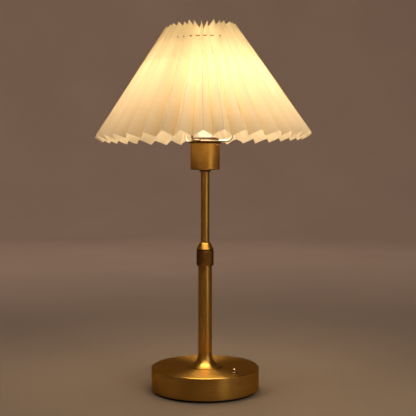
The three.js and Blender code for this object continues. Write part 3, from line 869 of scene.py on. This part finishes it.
def make_shade(cloth, cotton):
    """The pleated sheet, with a hole for the cord in every facet, and the cord through the holes."""
    rng = np.random.default_rng(7)
    crown_out, hem_out, crown_in, hem_in = fold_lines()
    crown_out = crown_out + TRIM * (hem_out - crown_out) / np.linalg.norm(hem_out - crown_out)
    crown_in = crown_in + TRIM * (hem_in - crown_in) / np.linalg.norm(hem_in - crown_in)
    slope = float(np.linalg.norm(hem_out - crown_out))
    cord_radius, cord_low, cord_high = radii("gather_cord")
    wire = (cord_high - cord_low) / 2
    middle = cord_radius - wire
    height = (cord_low + cord_high) / 2

    # where the cord goes through: the share of the way across a facet, and the depth down the slope there
    outer_at = crown_out + (hem_out - crown_out) * (crown_out[1] - height) / (crown_out[1] - hem_out[1])
    inner_at = crown_in + (hem_in - crown_in) * (crown_in[1] - height) / (crown_in[1] - hem_in[1])
    through = float((outer_at[0] - middle) / (outer_at[0] - inner_at[0]))
    depth_outer = float(np.linalg.norm(outer_at - crown_out))
    depth_inner = float(np.linalg.norm(inner_at - crown_in))
    depth = depth_outer + (depth_inner - depth_outer) * through
    notch = (depth - 1.4 * wire, depth + 1.4 * wire)
    rows = np.unique(np.concatenate([np.linspace(0, 1, 61), np.array(notch) / slope]))
    columns = np.array([0, 0.07, 0.2, through - HOLE_BORDER, through - HOLE_HALF,
                        through + HOLE_HALF, through + HOLE_BORDER, 0.8, 0.93, 1.0])
    half = math.pi / PLEATS

    def fold(line_crown, line_hem, centre, crown_turn, hem_turn, crown_out_by, hem_out_by):
        """Points down one fold: a straight line that wanders a little, as stiff cloth does."""
        r = line_crown[0] + (line_hem[0] - line_crown[0]) * rows
        z = line_crown[1] + (line_hem[1] - line_crown[1]) * rows
        crown_push = crown_out_by - SQUEEZE * max(0.0, -math.cos(centre))
        push = crown_push * (1 - rows) ** 2 + hem_out_by * rows ** 2
        push = push + smooth_random(rng, rows, 5, FOLD_RIPPLE)
        wander = smooth_random(rng, rows, 5, FOLD_WANDER) / r
        turn = crown_turn * (1 - rows) ** 3 + hem_turn * rows + wander
        angle = centre + turn
        r = r + WALL_NORMAL[0] * push
        z = z + WALL_NORMAL[1] * push
        return np.stack([r * np.cos(angle), r * np.sin(angle), z], 1)

    folds = []
    for k in range(2 * PLEATS):
        outer = k % 2 == 0
        angle = k * half - math.pi / 2
        if outer:
            folds.append(fold(crown_out, hem_out, angle,
                              rng.normal(0, OUTER_CROWN_TURN), rng.normal(0, OUTER_HEM_TURN),
                              rng.normal(0, OUTER_PUSH), rng.normal(0, OUTER_PUSH)))
        else:
            folds.append(fold(crown_in, hem_in, angle,
                              rng.normal(0, INNER_CROWN_TURN), rng.normal(0, INNER_HEM_TURN),
                              rng.normal(0, INNER_CROWN_PUSH), rng.normal(0, INNER_HEM_PUSH)))
    verts = []
    uvs = []
    index = {}
    count = 2 * PLEATS
    for k in range(count):
        here = folds[k]
        after = folds[(k + 1) % count]
        shares = columns if k % 2 == 0 else 1 - columns[::-1]
        bow = smooth_random(rng, rows, 4, FACET_BOW)
        across = after - here
        down = np.gradient(here, axis=0)
        side = np.cross(across, down)
        side = side / np.linalg.norm(side, axis=1)[:, None]
        for c, share in enumerate(shares[:-1]):
            bulge = math.sin(math.pi * share) ** 2 * bow[:, None]
            line = here + across * share + side * bulge
            for row in range(len(rows)):
                index[(k, c, row)] = len(verts)
                verts.append(lean(line[row]))
                uvs.append(((k + share) * FACET, rows[row] * slope))
    last = len(columns) - 1
    faces = []
    face_uvs = []
    low_notch = int(np.argmin(abs(rows * slope - notch[0])))
    high_notch = int(np.argmin(abs(rows * slope - notch[1])))
    for k in range(count):
        for c in range(last):
            for row in range(len(rows) - 1):
                if c == HOLE_COLUMN and low_notch <= row < high_notch:
                    continue
                a = (k, c)
                b = (k, c + 1) if c + 1 < last else ((k + 1) % count, 0)
                quad = [index[(*a, row)], index[(*a, row + 1)], index[(*b, row + 1)], index[(*b, row)]]
                faces.append(tuple(quad))
                flat = [uvs[i] for i in quad]
                if b == (0, 0):
                    flat[2] = (count * FACET, flat[2][1])
                    flat[3] = (count * FACET, flat[3][1])
                face_uvs.extend(flat)
    shade = mesh_object("shade_cloth_sheet", verts, faces, 28)
    layer = shade.data.uv_layers.new(name="cloth")
    layer.data.foreach_set("uv", np.array(face_uvs, float).ravel())
    place(shade, cloth, "mast", "shade_cloth", "shade_pleats")

    def twist(share, angle):
        """The cord's radius: two strands laid round each other."""
        return wire * (1 + 0.16 * math.cos(2 * angle + share * 2 * math.pi * CORD_HALF_TURNS))

    path = []
    for a in np.linspace(0, 2 * math.pi, 720, endpoint=False):
        dip = 0.25 * MM * math.cos(PLEATS * a)
        path.append(lean((middle * math.cos(a), middle * math.sin(a), height + dip)))
    cord = tube_along("cord_twisted", path, wire, sides=10, closed=True, profile=twist)
    place(cord, cotton, "mast", "cotton_cord", "gather_cord")


# ------------------------------------------------------------------ bulb and glow

BULB_POWER = 1.0
BULB_COLOUR = (1.0, 0.78, 0.50)
BULB_SHIFT = 3 * MM                 # the light inside the bulb sits a little to the right
CROWN_POWER = 0.19                  # stands for what the inside of the crown throws back
MOUTH_POWER = 0.25                  # stands for the lit inside of the shade, in the metal only


def make_bulb(opal, nickel):
    """The opal glass, its threaded cap, the light in it and a helper light under the crown.
    The glass casts no shadow, so that the light inside it reaches the cloth."""
    cap_radius, cap_bottom, cap_top = radii("bulb_cap")
    low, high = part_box("bulb_glass")
    radius, bottom, top = high.x, low.z, high.z
    centre = top - radius
    neck = 6.2 * MM
    wall = 0.8 * MM
    shoulder = math.radians(-56)
    ball = np.linspace(shoulder, math.pi / 2, 36)
    outside = [(neck, bottom), (neck, cap_top - 1.5 * MM), (7.1 * MM, cap_top + 2 * MM)]
    outside += [(radius * math.cos(a), centre + radius * math.sin(a)) for a in ball]
    outside[-1] = (0, top)
    bore = radius - wall
    inside = [(bore * math.cos(a), centre + bore * math.sin(a)) for a in ball[::-1]]
    inside[0] = (0, top - wall)
    inside += [(6.3 * MM, cap_top + 2.2 * MM), (neck - wall, cap_top - 1.5 * MM),
               (neck - wall, bottom)]
    glass = turned("bulb_opal", inside + outside, closed=False, segments=96, sharp_angle=50)
    glass.visible_shadow = False
    place(glass, opal, "mast", "opal_glass", "bulb_glass")

    shaft = 6.95 * MM
    pitch = 2.8 * MM
    flare = cap_top - 4 * MM
    outline = [(shaft - 0.5 * MM, cap_bottom), (shaft - 0.4 * MM, cap_bottom)]
    z = cap_bottom + 0.8 * MM
    while z < flare - 2.1 * MM:
        outline += [(shaft - 0.4 * MM, z), (shaft, z + 0.8 * MM), (shaft, z + 1.3 * MM),
                    (shaft - 0.4 * MM, z + 2.1 * MM)]
        z += pitch
    outline += [(shaft, flare), (cap_radius, flare + 1.5 * MM), (cap_radius, cap_top),
                (cap_radius - 0.4 * MM, cap_top), (cap_radius - 0.4 * MM, flare + 1.7 * MM),
                (shaft - 0.5 * MM, flare + 0.2 * MM)]
    cap = turned("bulb_cap_threaded", outline, segments=96)
    place(cap, nickel, "mast", "nickel", "bulb_cap")

    data = bpy.data.lights.new("bulb_light", "POINT")
    data.energy = BULB_POWER
    data.color = BULB_COLOUR
    data.shadow_soft_size = radius * 0.6
    light = bpy.data.objects.new("bulb_light", data)
    light.location = (BULB_SHIFT, 0, centre)
    bpy.context.scene.collection.objects.link(light)
    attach(light, "mast")

    data = bpy.data.lights.new("crown_light", "POINT")
    data.energy = CROWN_POWER
    data.color = BULB_COLOUR
    data.shadow_soft_size = 12 * MM
    glow = bpy.data.objects.new("crown_light", data)
    glow.location = (0, 0, radii("carrier_top_ring")[1])
    bpy.context.scene.collection.objects.link(glow)
    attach(glow, "mast")


def make_mouth_glow():
    """The lit inside of the shade, as the metal below it mirrors it. It lights nothing else."""
    low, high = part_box("shade_pleats")
    width = 2 * (high.x - 15 * MM)
    bottom = low.z + 4 * MM
    glow = area_light("mouth_glow", (0, 0, bottom), (0, 0, 0), (width, width), MOUTH_POWER, BULB_COLOUR)
    glow.data.shape = "DISK"
    glow.data.spread = math.radians(60)
    for way in ("camera", "diffuse", "transmission", "volume_scatter"):
        setattr(glow, f"visible_{way}", False)
    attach(glow, "mast")


# ------------------------------------------------------------------ the whole lamp

def paint_cad_nodes(finishes):
    """Gives every CAD node that still shows the procedural finish of its slot."""
    slots = {part["node"]: part["material_slot"] for part in frame["record"]["subparts"]}
    for name, node in frame["nodes"].items():
        if node.hide_render:
            continue
        node.data.materials.clear()
        node.data.materials.append(finishes[slots[name]])


def build():
    """The studio, every finish, and then the lamp from the foot up."""
    make_camera()
    make_floor()
    studio()
    bpy.context.scene.view_settings.view_transform = "Standard"
    finishes = {
        "aged_brass": brushed_brass("aged_brass", (0.36, 0.20, 0.045), (0.67, 0.405, 0.10), 0.30, 0.2),
        "dark_brass": brushed_brass("dark_brass", (0.09, 0.04, 0.010), (0.30, 0.15, 0.04), 0.36),
        # painted shade: a far darker copy of the brass, for the cup's rim
        "painted_shade_brass": brushed_brass("painted_shade_brass", (0.03, 0.014, 0.004), (0.12, 0.06, 0.018), 0.42),
        "raw_brass": brushed_brass("raw_brass", (0.55, 0.36, 0.12), (0.80, 0.58, 0.24), 0.25),
        "zinc_steel": wire_metal("zinc_steel", (0.60, 0.61, 0.62), 0.38),
        "nickel": wire_metal("nickel", (0.78, 0.74, 0.68), 0.20),
        "dark_nickel": wire_metal("dark_nickel", (0.52, 0.43, 0.32), 0.12),
        # painted shade: a far darker copy of the nickel, for the switch ring
        "painted_shade_nickel": wire_metal("painted_shade_nickel", (0.20, 0.15, 0.10), 0.32),
        "tungsten": wire_metal("tungsten", (0.35, 0.33, 0.31), 0.45),
        "weight_iron": speckled("weight_iron", (0.075, 0.072, 0.07), 0.75, 420, 0.0003, metallic=0.4),
        "pad_rubber": speckled("pad_rubber", (0.018, 0.017, 0.016), 0.92, 900, 0.0002),
        "grommet_rubber": speckled("grommet_rubber", (0.022, 0.021, 0.02), 0.6, 700, 0.00005),
        "black_plastic": speckled("black_plastic", (0.03, 0.027, 0.025), 0.42, 800, 0.00004),
        "brown_plastic": speckled("brown_plastic", (0.15, 0.065, 0.016), 0.35, 500, 0.00004,
                                  Coat_Weight=0.15),
        "white_nylon": speckled("white_nylon", (0.80, 0.77, 0.70), 0.45, 500, 0.00004, 0.92),
        "lead_sheath": speckled("lead_sheath", (0.72, 0.68, 0.60), 0.5, 600, 0.00004, 0.9),
        "shade_cloth": pleated_cloth_material(),
        "cotton_cord": twisted_cotton(),
        "opal_glass": glowing_opal(),
        "clear_glass": clear_glass(),
    }
    make_foot(finishes["aged_brass"], finishes["pad_rubber"])
    make_switch(finishes["dark_nickel"], finishes["painted_shade_nickel"])
    make_grommet(finishes["grommet_rubber"])
    make_stem(finishes["aged_brass"])
    make_slack_lead(finishes["lead_sheath"])
    make_collar(finishes["dark_brass"], finishes["aged_brass"])
    make_holder(finishes["aged_brass"], finishes["dark_brass"], finishes["painted_shade_brass"],
                finishes["brown_plastic"], finishes["black_plastic"], finishes["nickel"])
    make_carrier(finishes["nickel"])
    make_shade(finishes["shade_cloth"], finishes["cotton_cord"])
    make_bulb(finishes["opal_glass"], finishes["nickel"])
    make_mouth_glow()
    paint_cad_nodes(finishes)


build()
